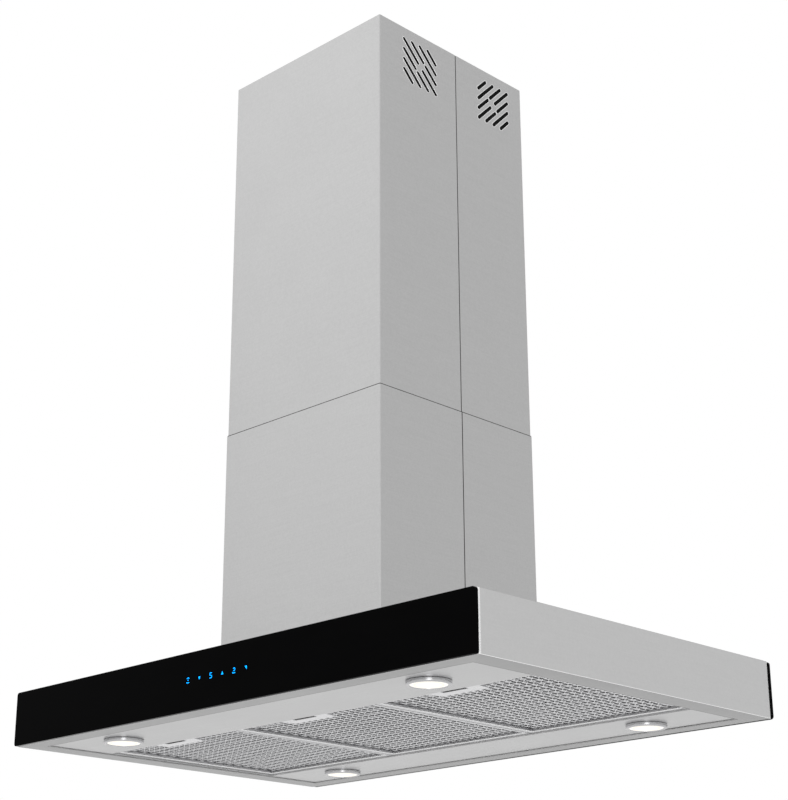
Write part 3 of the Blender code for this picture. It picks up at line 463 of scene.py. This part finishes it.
def chimney_half(node):
    """One folded half, its seam edges set back so that the seam shows, its corners rounded."""
    low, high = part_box(node)
    half_x = high.x
    outside = half_x - 1.5 * CHIMNEY_SHEET
    rear = node.endswith("rear")
    seam = low.y if rear and "lower" in node else high.y if not rear else SEAM_Y + SEAM_GAP / 2
    shape = node_shape(node)
    for vert in shape.verts:
        if abs(vert.co.x) > outside and abs(vert.co.y - seam) < TOUCH:
            vert.co.y += SEAM_SETBACK if rear else -SEAM_SETBACK

    def at_corner(at, along):
        return abs(along.z) > 0.9 and min(abs(at.x), abs(at.y)) > half_x - TOUCH
    round_over(shape, at_corner, 1.0 * MM, 4)
    if "upper" in node:
        vent_slots(shape, node)
    made = piece(f"{node}_fine", mesh_from(node, shape), node)
    # slot 1: matte black on the vent slots' walls, painted shade
    made.data.materials.append(LOOKS["dark"])
    return soften(made, 0.1 * MM)


def vent_slots(shape, node):
    """Paints the vent slots' walls matte black as painted shade, widens them slightly, and puts a raised rim
    round each one in bright metal as a painted highlight.
    """
    half_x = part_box(node)[1].x
    walls = set()
    for face in shape.faces:
        centre = face.calc_center_median()
        level = -VENT_TOP - 2 * VENT_SHADE < centre.z < -VENT_TOP + VENT_SHADE / 4
        if level and abs(face.normal.x) < 0.7 and abs(abs(centre.x) - half_x + CHIMNEY_SHEET / 2) < TOUCH:
            # the slot's wall faces take the matte black: painted shade
            face.material_index = 1
            walls.add(face)
    rims = bmesh.new()
    while walls:
        group, waiting = set(), [walls.pop()]
        while waiting:
            face = waiting.pop()
            group.add(face)
            linked = {other for edge in face.edges for other in edge.link_faces} & walls
            walls -= linked
            waiting += linked
        slot_rim(rims, group, half_x)
    half = node.rsplit("_", 1)[1]
    name = f"vent_rims_{half}"
    piece(name, mesh_from(name, rims), node, LOOKS["polished"], stands_for=False)


def slot_rim(rims, group, half_x):
    """Widens the slot with these wall faces, and adds its rim to the rims' mesh."""
    outward = {}
    for vert in {vert for face in group for vert in face.verts}:
        normals = [face.normal for face in vert.link_faces if face in group]
        outward[vert] = -sum(normals, Vector()).normalized()
    for vert, way in outward.items():
        vert.co += way * SLOT_WIDER
    edge = [vert for vert in outward if abs(vert.co.x) > half_x - TOUCH]
    centre = sum((vert.co for vert in edge), Vector()) / len(edge)
    edge.sort(key=lambda vert: math.atan2(vert.co.z - centre.z, vert.co.y - centre.y))
    up = Vector((math.copysign(1, centre.x), 0, 0))
    # In units of the rim's width: away from the slot, and out of the wall
    section = ((0.05, -0.05), (1.0, -0.05), (0.75, 0.2), (0.3, 0.2))
    rings = [[rims.verts.new(vert.co + (outward[vert] * away + up * height) * SLOT_RIM)
              for away, height in section] for vert in edge]
    for near, far in zip(rings, rings[1:] + rings[:1]):
        for i in range(len(section)):
            rims.faces.new((near[i - 1], near[i], far[i], far[i - 1]))


def seam_shadow_strip(name, node, near, half_width, levels):
    """Black strip in the seam on both sides of the chimney, from |x| = near: painted shade in the seam's gap.
    """
    far = near + SHADE_STRIP
    corners = []
    for side in (-1, 1):
        across = sorted((side * near, side * far))
        corners.append(((across[0], SEAM_Y - half_width, levels[0]),
                        (across[1], SEAM_Y + half_width, levels[1])))
    return piece(name, boxes(name, corners), node, LOOKS["black_plastic"], stands_for=False)


def section_shadow_strip():
    """Thin black strip in the gap around the upper section, just proud of the lower one's top edge: a painted
    shadow line at the joint.
    """
    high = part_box("lower_chimney_front")[1]
    outer = high.x - CHIMNEY_SHEET - 0.1 * MM
    inner = outer - SHADE_STRIP
    low_z, top_z = high.z - 6 * MM, high.z + 1.5 * MM
    corners = []
    for side in (-1, 1):
        across = sorted((side * inner, side * outer))
        corners.append(((across[0], -outer, low_z), (across[1], outer, top_z)))
        corners.append(((-inner, across[0], low_z), (inner, across[1], top_z)))
    return piece("section_shadow_line", boxes("section_shadow_line", corners), "lower_chimney_front",
                 LOOKS["black_plastic"], stands_for=False)


def vent_shade_sheet(half, middle):
    """Black sheets inside both walls, behind one half's vent slots: painted shade for the chimney's dark
    inside.
    """
    node = f"upper_chimney_{half}"
    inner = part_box(node)[1].x - CHIMNEY_SHEET - 0.1 * MM
    corners = []
    for side in (-1, 1):
        across = sorted((side * (inner - 0.4 * MM), side * inner))
        corners.append(((across[0], middle - VENT_SHADE, -VENT_TOP - 2 * VENT_SHADE),
                        (across[1], middle + VENT_SHADE, -VENT_TOP + VENT_SHADE / 4)))
    return piece(f"vent_shade_sheet_{half}", boxes(f"vent_shade_sheet_{half}", corners), node, LOOKS["dark"],
                 stands_for=False)


def chimney():
    for section in ("upper", "lower"):
        for half in ("front", "rear"):
            chimney_half(f"{section}_chimney_{half}")
    upper_low, upper_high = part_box("upper_chimney_front")
    lower_low, lower_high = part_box("lower_chimney_front")
    gap = SEAM_SETBACK
    # black strips in the seams: painted shade
    seam_shadow_strip("upper_seam_shadow", "upper_chimney_rear", upper_high.x - CHIMNEY_SHEET + 0.25 * MM, gap,
              (upper_low.z, upper_high.z - 0.5 * MM))
    seam_shadow_strip("lower_seam_shadow", "lower_chimney_rear", upper_high.x + 0.1 * MM, 5 * gap,
              (lower_low.z + 0.5 * MM, lower_high.z - 0.5 * MM))
    # painted shadow line where the upper section meets the lower one
    section_shadow_strip()
    # black sheets behind the vents: painted shade
    for half, middle in VENT_CENTRES.items():
        vent_shade_sheet(half, middle)


# Canopy

def canopy():
    """Shell with a darker flange, side tops and mouth edge as painted shade, a painted shadow line at the
    mouth's front and sides, and painted highlights on its upright folds and the lower edges of its sides.
    """
    node = "canopy_shell"
    low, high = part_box(node)
    shape = node_shape(node)
    sheet = [vert.co for vert in shape.verts if vert.co.z < low.z + TOUCH]
    mouth = [max(abs(at[axis]) for at in sheet if abs(at[axis]) < high[axis] - FLANGE_LEAST)
             for axis in (0, 1)]
    shadow_x, shadow_y = (half + MOUTH_SHADOW for half in mouth)
    for level, across in ((shadow_x, (1, 0, 0)), (shadow_y, (0, 1, 0)), (high.y - FOLD, (0, 1, 0))):
        for sign in (-1, 1):
            everything = [*shape.verts, *shape.edges, *shape.faces]
            bmesh.ops.bisect_plane(shape, geom=everything, plane_co=sign * level * Vector(across),
                                   plane_no=across)
    for vert in shape.verts:
        if min(abs(vert.co.x) - high.x, abs(vert.co.y) - high.y) > -0.7 * MM:
            vert.co.x -= math.copysign(FOLD_INSET, vert.co.x)

    def at_mouth(at, along):
        return at.z < low.z + TOUCH and max(abs(at.x) - mouth[0], abs(at.y) - mouth[1]) < TOUCH
    for face in shape.faces:
        middle, normal = face.calc_center_median(), face.normal
        at_side, at_end = abs(middle.x) > high.x - 1 * MM, abs(middle.y) > high.y - FOLD
        if middle.z < low.z + 1.5 * MM and normal.z < -0.9:
            # the band just outside the mouth's front and sides takes the dark steel as a painted shadow; the
            # rest of the flange takes the darker flange steel
            face.material_index = 2 if abs(middle.x) < shadow_x and -shadow_y < middle.y < mouth[1] else 1
        # the top faces of the sides take the darker flange steel: a painted shade line
        elif at_side and normal.z > 0.3:
            face.material_index = 1
        # the angled fold bands and the downward faces at the sides' lower edges take the bright steel:
        # painted highlights
        elif (at_side and at_end and abs(normal.x) > 0.3) or (at_side and normal.z < -0.3):
            face.material_index = 3
    # the mouth's rounded edge takes the darker flange steel: painted shade
    round_over(shape, at_mouth, 0.3 * MM, 2, material=1)
    made = piece("canopy_shell_fine", mesh_from(node, shape), node)
    # extra slots: darker flange steel (painted shade), dark steel (painted shadow), bright steel (painted
    # highlight)
    for material in (LOOKS["flange"], LOOKS["shade_line"], LOOKS["polished"]):
        made.data.materials.append(material)
    return soften(made, 0.3 * MM)


def glass(node, recess):
    """Panel with polished edges; its outer face is set back by recess."""
    outer = (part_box(node)[0].y + recess) if node.startswith("front") else (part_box(node)[1].y - recess)
    shape = node_shape(node)
    for vert in shape.verts:
        if abs(vert.co.y) > abs(outer):
            vert.co.y = outer
    return soften(piece(f"{node}_fine", mesh_from(node, shape), node), 0.35 * MM, 3, 30)


# Lit symbols. Their outlines are (across, up) in millimetres from each symbol's middle.

def stroke(start, end, width=1.0):
    """Outline of a straight stroke."""
    along = (Vector(end) - Vector(start)).normalized() * width / 2
    across = Vector((-along.y, along.x))
    corners = (Vector(start) - along + across, Vector(start) - along - across,
               Vector(end) + along - across, Vector(end) + along + across)
    return [tuple(corner) for corner in corners]


def bow(middle, radius, first, last, width=1.0, steps=10):
    """Outline of an arc-shaped stroke between two angles in degrees."""
    angles = [math.radians(first + (last - first) * i / steps) for i in range(steps + 1)]
    rims = ((radius + width / 2, angles), (radius - width / 2, angles[::-1]))
    return [(middle[0] + rim * math.cos(angle), middle[1] + rim * math.sin(angle))
            for rim, turn in rims for angle in turn]


def spot(middle, radius, steps=16):
    angles = [2 * math.pi * i / steps for i in range(steps)]
    return [(middle[0] + radius * math.cos(angle), middle[1] + radius * math.sin(angle)) for angle in angles]


def symbol_outlines():
    """Lamp, down, the digit 5, up, timer and off, from left to right."""
    base = [stroke((-2.8, -3.7), (2.6, -3.7)), stroke((-2.8, -3.7), (-3.3, -2.5), 0.8)]
    light = [bow((0, 0.9), 3.0, 30, 150), spot((0, 0.3), 0.9), *base]
    down = [[(-2.2, 2.2), (0, -2.4), (2.2, 2.2)]]
    five = [stroke((1.9, 4.0), (-1.6, 4.0)), stroke((-1.8, 3.8), (-2.0, 0.7)),
            stroke((-1.8, 0.5), (1.0, 0.2)), bow((0.4, -1.7), 2.0, -90, 80),
            stroke((0.2, -3.7), (-2.0, -3.7))]
    up = [[(-2.3, -2.2), (2.3, -2.2), (0, 2.6)]]
    timer = [bow((0, 1.6), 2.2, -130, 150), *base]
    off = [[(-2.4, 2.6), (2.0, 3.2), (1.9, -2.4), (1.0, -1.0)]]
    return [light, down, five, up, timer, off]


def symbols():
    """The row of lit symbols, inlaid in the front glass."""
    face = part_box("front_glass")[0].y
    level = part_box("canopy_shell")[0].z + SYMBOL_HEIGHT
    shape = bmesh.new()
    outlines = symbol_outlines()
    for index, strokes in enumerate(outlines):
        middle = (index - (len(outlines) - 1) / 2) * SYMBOL_PITCH
        for depth, outline in enumerate(strokes):
            front = face + depth * STROKE_STEP
            rims = [[shape.verts.new((middle + x * SYMBOL_UNIT, y, level + z * SYMBOL_UNIT))
                     for x, z in outline] for y in (front, face + GLASS_RECESS)]
            shape.faces.new(rims[0])
            shape.faces.new(rims[1][::-1])
            for i in range(len(outline)):
                shape.faces.new((rims[0][i - 1], rims[1][i - 1], rims[1][i], rims[0][i]))
    return piece("lit_symbols", mesh_from("lit_symbols", shape), "front_glass", LOOKS["symbol"],
                 stands_for=False)


# Lamps

def lamp(corner):
    """Ring on a black ring that paints the shadow gap under it, frosted lens and finned body, all turned
    about the lamp's middle.
    """
    ring_low, ring_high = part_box(f"lamp_ring_{corner}")
    body_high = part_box(f"lamp_body_{corner}")[1]
    middle = (ring_low + ring_high) / 2
    outer = (ring_high.x - ring_low.x) / 2
    low, seat, top = ring_low.z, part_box("bottom_panel")[0].z, ring_high.z
    lens_edge, barrel, ledge = LENS_RADIUS + GAP, LAMP_BARREL, seat - 2.3 * MM
    ring = [(barrel, top), (barrel, seat - 0.3 * MM), (outer - 0.3 * MM, seat - 0.3 * MM),
            (outer, seat - 0.6 * MM), (outer, low + 1.6 * MM), (outer - 0.25 * MM, low + 0.8 * MM),
            (outer - 0.9 * MM, low + 0.25 * MM), (outer - 1.8 * MM, low), (lens_edge + 0.7 * MM, low),
            (lens_edge + 0.2 * MM, low + 0.2 * MM), (lens_edge, low + 0.7 * MM), (lens_edge, ledge),
            (barrel - 2.5 * MM, ledge), (barrel - 2.5 * MM, top)]
    # black ring just under the lamp ring's top: painted shade in the gap to the panel
    gasket = [(barrel + 0.2 * MM, seat - 0.05 * MM), (outer - 0.7 * MM, seat - 0.05 * MM),
              (outer - 0.5 * MM, seat - 0.15 * MM), (outer - 0.7 * MM, seat - 0.25 * MM),
              (barrel + 0.2 * MM, seat - 0.25 * MM)]
    lens_top = ledge - GAP
    lens = [(0, lens_top), (LENS_RADIUS, lens_top), (LENS_RADIUS, low + 1.1 * MM),
            (LENS_RADIUS - 0.3 * MM, low + 0.75 * MM), (0.6 * LENS_RADIUS, low + 0.45 * MM),
            (0, low + 0.35 * MM)]
    stem, width = barrel - 2.7 * MM, body_high.x - middle.x
    body = [(0, body_high.z)]
    for i in range(LAMP_FINS):
        fin_top = body_high.z - i * (body_high.z - top - GAP) / LAMP_FINS
        body += [(width, fin_top), (width, fin_top - 1.0 * MM), (0.8 * width, fin_top - 1.2 * MM),
                 (0.8 * width, fin_top - 1.5 * MM)]
    body += [(stem, top + GAP), (stem, ledge + 0.4 * MM), (0, ledge + 0.4 * MM)]
    turnings = (
        ("ring", ring, "chrome_ring", True),
        ("gasket", gasket, "black_plastic", False),
        ("lens", lens, "lamp_lens", True),
        ("body", body, "cast_aluminium", True),
    )
    for part, profile, look, stands in turnings:
        node = f"lamp_{part}_{corner}" if stands else f"lamp_ring_{corner}"
        local = [(radius, height - low) for radius, height in profile]
        mesh = turned(f"lamp_{part}_{corner}", local)
        piece(f"lamp_{part}_{corner}_fine", mesh, node, LOOKS[look], stands, (middle.x, middle.y, low))


# Grease filters

def crimp(y):
    """Height of the mesh pack's shallow corrugation."""
    return CRIMP_DEPTH * math.cos(2 * math.pi * y / CRIMP_RUN)


def sweep(shape, points, section, height):
    """Closed strand through the points, with the section's (across, up) corners set along Y and Z."""
    rims = [[shape.verts.new((x, y + across, height + up + crimp(y + across))) for across, up in section]
            for x, y in points]
    for near, far in zip(rims, rims[1:]):
        for i in range(len(section)):
            shape.faces.new((near[i - 1], near[i], far[i], far[i - 1]))
    shape.faces.new(rims[0])
    shape.faces.new(rims[-1][::-1])


def mesh_layer(shape, area, notch, base, layer):
    """Expanded metal: zigzag strands along X that meet their neighbours at every other turn.

    area is (half width, front, back), notch is (half width, back) of the space left for the latch.
    """
    half_x, front, back = area
    pitch, rows, height, width, tilt = layer
    # A strand's corners: the share of the pitch along it, and the side it is on
    turns = ((0.0, 1.0), (0.09, 1.0), (0.41, -1.0), (0.59, -1.0), (0.91, 1.0))
    lean = Matrix.Rotation(math.radians(tilt), 2)
    section = [lean @ Vector((across * width / 2, up * STRAND / 2))
               for across, up in ((-1, -1), (1, -1), (1, 1), (-1, 1))]
    reach = rows / 2 - 0.1 * width
    count = int((back - front - width) / rows)
    for index in range(count):
        middle = (front + back) / 2 + (index - (count - 1) / 2) * rows
        sign = 1 if index % 2 else -1
        points = [((turn + share) * pitch - half_x, middle + sign * side * reach)
                  for turn in range(int(2 * half_x / pitch) + 1) for share, side in turns]
        points = [point for point in points if abs(point[0]) < half_x - 0.2 * MM]
        if middle < notch[1] + rows / 2:
            sweep(shape, [point for point in points if point[0] < -notch[0]], section, base + height)
            sweep(shape, [point for point in points if point[0] > notch[0]], section, base + height)
        else:
            sweep(shape, points, section, base + height)


def filter_mesh(side):
    """Coarse expanded metal below a finer layer, which is painted darker as shade."""
    node = f"filter_mesh_{side}"
    low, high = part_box(node)
    area = ((high.x - low.x) / 2, low.y, high.y)
    notch = (POCKET_X + GAP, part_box(f"filter_frame_{side}")[0].y + POCKET_Y + GAP)
    shape = bmesh.new()
    for index, layer in enumerate(MESH_LAYERS):
        ready = len(shape.faces)
        mesh_layer(shape, area, notch, low.z, layer)
        for face in list(shape.faces)[ready:]:
            face.material_index = index
    bmesh.ops.translate(shape, verts=shape.verts, vec=((low.x + high.x) / 2, 0, 0))
    made = piece(f"{node}_fine", mesh_from(node, shape), node)
    # slot 1, for the finer, deeper layer: the darker aluminium, painted shade
    made.data.materials.append(LOOKS["shaded_mesh"])
    return made


def filter_frame(side):
    """Frame whose lip under the mesh is narrowed to what the photograph shows at the sides and the back."""
    node = f"filter_frame_{side}"
    low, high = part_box(node)
    middle, half_x = (low.x + high.x) / 2, (high.x - low.x) / 2
    shape = node_shape(node)
    window_x, window_rear = half_x - FILTER_RIM, filter_rear(side) - FILTER_RIM
    for vert in shape.verts:
        across = vert.co.x - middle
        if abs(abs(across) - window_x) < TOUCH:
            vert.co.x = middle + math.copysign(half_x - SHOWN_RIM, across)
        if abs(vert.co.y - window_rear) < TOUCH:
            vert.co.y += FILTER_RIM - SHOWN_RIM
    soften(piece(f"{node}_fine", mesh_from(node, shape), node), 0.4 * MM)


def filter_rear(side):
    """Where the frame's rear wall ends, just behind the mesh."""
    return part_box(f"filter_mesh_{side}")[1].y + FRAME_WALL


def filter_bead(side):
    """Rolled inner edge of the frame's lip, its brightness a painted highlight."""
    node = f"filter_frame_{side}"
    low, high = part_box(node)
    middle = (low.x + high.x) / 2
    inner_x = (high.x - low.x) / 2 - SHOWN_RIM - BEAD
    front, rear = low.y + FILTER_RIM + BEAD, filter_rear(side) - SHOWN_RIM - BEAD
    level = low.z + 1.2 * BEAD
    path = [(-POCKET_X - BEAD, front), (-inner_x, front), (-inner_x, rear), (inner_x, rear), (inner_x, front),
            (POCKET_X + BEAD, front)]
    points = [(middle + x, y, level) for x, y in path]
    return piece(f"filter_bead_{side}", wire(f"filter_bead_{side}", points, BEAD), node, LOOKS["polished"],
                 stands_for=False)


def latch_spring(side):
    """Coil between the latch's finger wall and the pocket's back."""
    node = f"latch_spring_{side}"
    low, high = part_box(node)
    middle = (low + high) / 2
    radius = (high.z - low.z) / 2 - SPRING_WIRE
    first, last = low.y + SPRING_WIRE, high.y - SPRING_WIRE
    count = SPRING_TURNS * 20
    points = []
    for i in range(count + 1):
        turn, share = 2 * math.pi * i / 20, i / count
        points.append((middle.x + radius * math.cos(turn), first + (last - first) * share,
                       middle.z + radius * math.sin(turn)))
    made = piece(f"{node}_fine", wire(node, points, SPRING_WIRE), node)
    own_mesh(made)


def filters():
    for side in SIDES:
        filter_frame(side)
        filter_bead(side)
        filter_mesh(side)
        refined(f"filter_latch_{side}", 0.3 * MM)
        latch_spring(side)


def other_parts():
    """All that is left: panel, frame, blower, flaps and electronics, as the CAD shapes with rounded edges."""
    for node in sorted(NODES):
        if not NODES[node].hide_render:
            refined(node, 0.25 * MM)


# Stage, light and camera

def stage():
    """Pale floor well below the hood."""
    shape = bmesh.new()
    bmesh.ops.create_grid(shape, x_segments=2, y_segments=2, size=FLOOR_SIZE)
    floor = bpy.data.objects.new("floor", mesh_from("floor", shape))
    floor.location = (0, 0, CAD_BOX[0].z - FLOOR_DROP)
    bpy.context.scene.collection.objects.link(floor)
    material, tree, shader = new_material("floor", FLOOR_WHITE, 0.0, 0.6)
    tint(tree, shader, noise(tree, (0.6, 0.6, 0.6)), FLOOR_WHITE, 0.985, 1.0)
    floor.data.materials.append(material)


def studio():
    """White surroundings, plain behind the hood, whose light grows upwards on the front left."""
    world = bpy.data.worlds.new("studio")
    world.use_nodes = True
    bpy.context.scene.world = world
    tree = world.node_tree
    ray = add_node(tree, "ShaderNodeTexCoord").outputs["Generated"]
    leftward = add_node(tree, "ShaderNodeVectorMath", {0: ray, 1: FRONT_LEFT}, operation="DOT_PRODUCT")
    upward = add_node(tree, "ShaderNodeVectorMath", {0: ray, 1: (0.0, 0.0, 1.0)}, operation="DOT_PRODUCT")
    left = spread(tree, leftward.outputs["Value"], 0.0, WORLD_RISE, -FULL_RISE, FULL_RISE)
    rise = add_node(tree, "ShaderNodeMath", {0: left, 1: upward.outputs["Value"]}, operation="MULTIPLY")
    shine = add_node(tree, "ShaderNodeMath", {
        0: rise.outputs["Value"], 1: WORLD_LEVEL,
    }, operation="ADD").outputs["Value"]
    seen = add_node(tree, "ShaderNodeLightPath").outputs["Is Camera Ray"]
    mix = add_node(tree, "ShaderNodeMix", {0: seen, 2: shine, 3: 1.0}, data_type="FLOAT")
    tree.links.new(mix.outputs[0], tree.nodes["Background"].inputs["Strength"])
    tree.nodes["Background"].inputs["Color"].default_value = (1.0, 1.0, 1.0, 1.0)


def softbox(name, location, target, size, power):
    """Rectangular light that points at the target."""
    light = bpy.data.lights.new(name, "AREA")
    light.shape = "RECTANGLE"
    light.size, light.size_y = size
    light.energy = power
    holder = bpy.data.objects.new(name, light)
    holder.location = location
    holder.rotation_euler = (Vector(target) - Vector(location)).to_track_quat("-Z", "Y").to_euler()
    holder.visible_camera = False
    bpy.context.scene.collection.objects.link(holder)


def camera():
    """From below the front right corner, as in the photograph."""
    yaw, pitch, roll = (math.radians(angle) for angle in (YAW, PITCH, ROLL))
    lens = bpy.data.cameras.new("camera")
    lens.sensor_width = SENSOR_WIDTH
    lens.lens = FOCAL_LENGTH
    view = bpy.data.objects.new("camera", lens)
    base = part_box("canopy_shell")[0].z
    turn = Matrix.Rotation(yaw, 4, "Z") @ Matrix.Rotation(math.pi / 2 + pitch, 4, "X")
    place = Matrix.Translation((EYE_X, EYE_Y, base - EYE_DROP))
    view.matrix_world = place @ turn @ Matrix.Rotation(roll, 4, "Z")
    bpy.context.scene.collection.objects.link(view)
    bpy.context.scene.camera = view


chimney()
canopy()
glass("front_glass", GLASS_RECESS)
glass("rear_glass", 0.0)
symbols()
for lamp_corner in CORNERS:
    lamp(lamp_corner)
filters()
other_parts()
stage()
studio()
softbox("key", KEY_PLACE, KEY_TARGET, KEY_SIZE, KEY_POWER)
camera()
bpy.context.scene.view_settings.view_transform = "Standard"
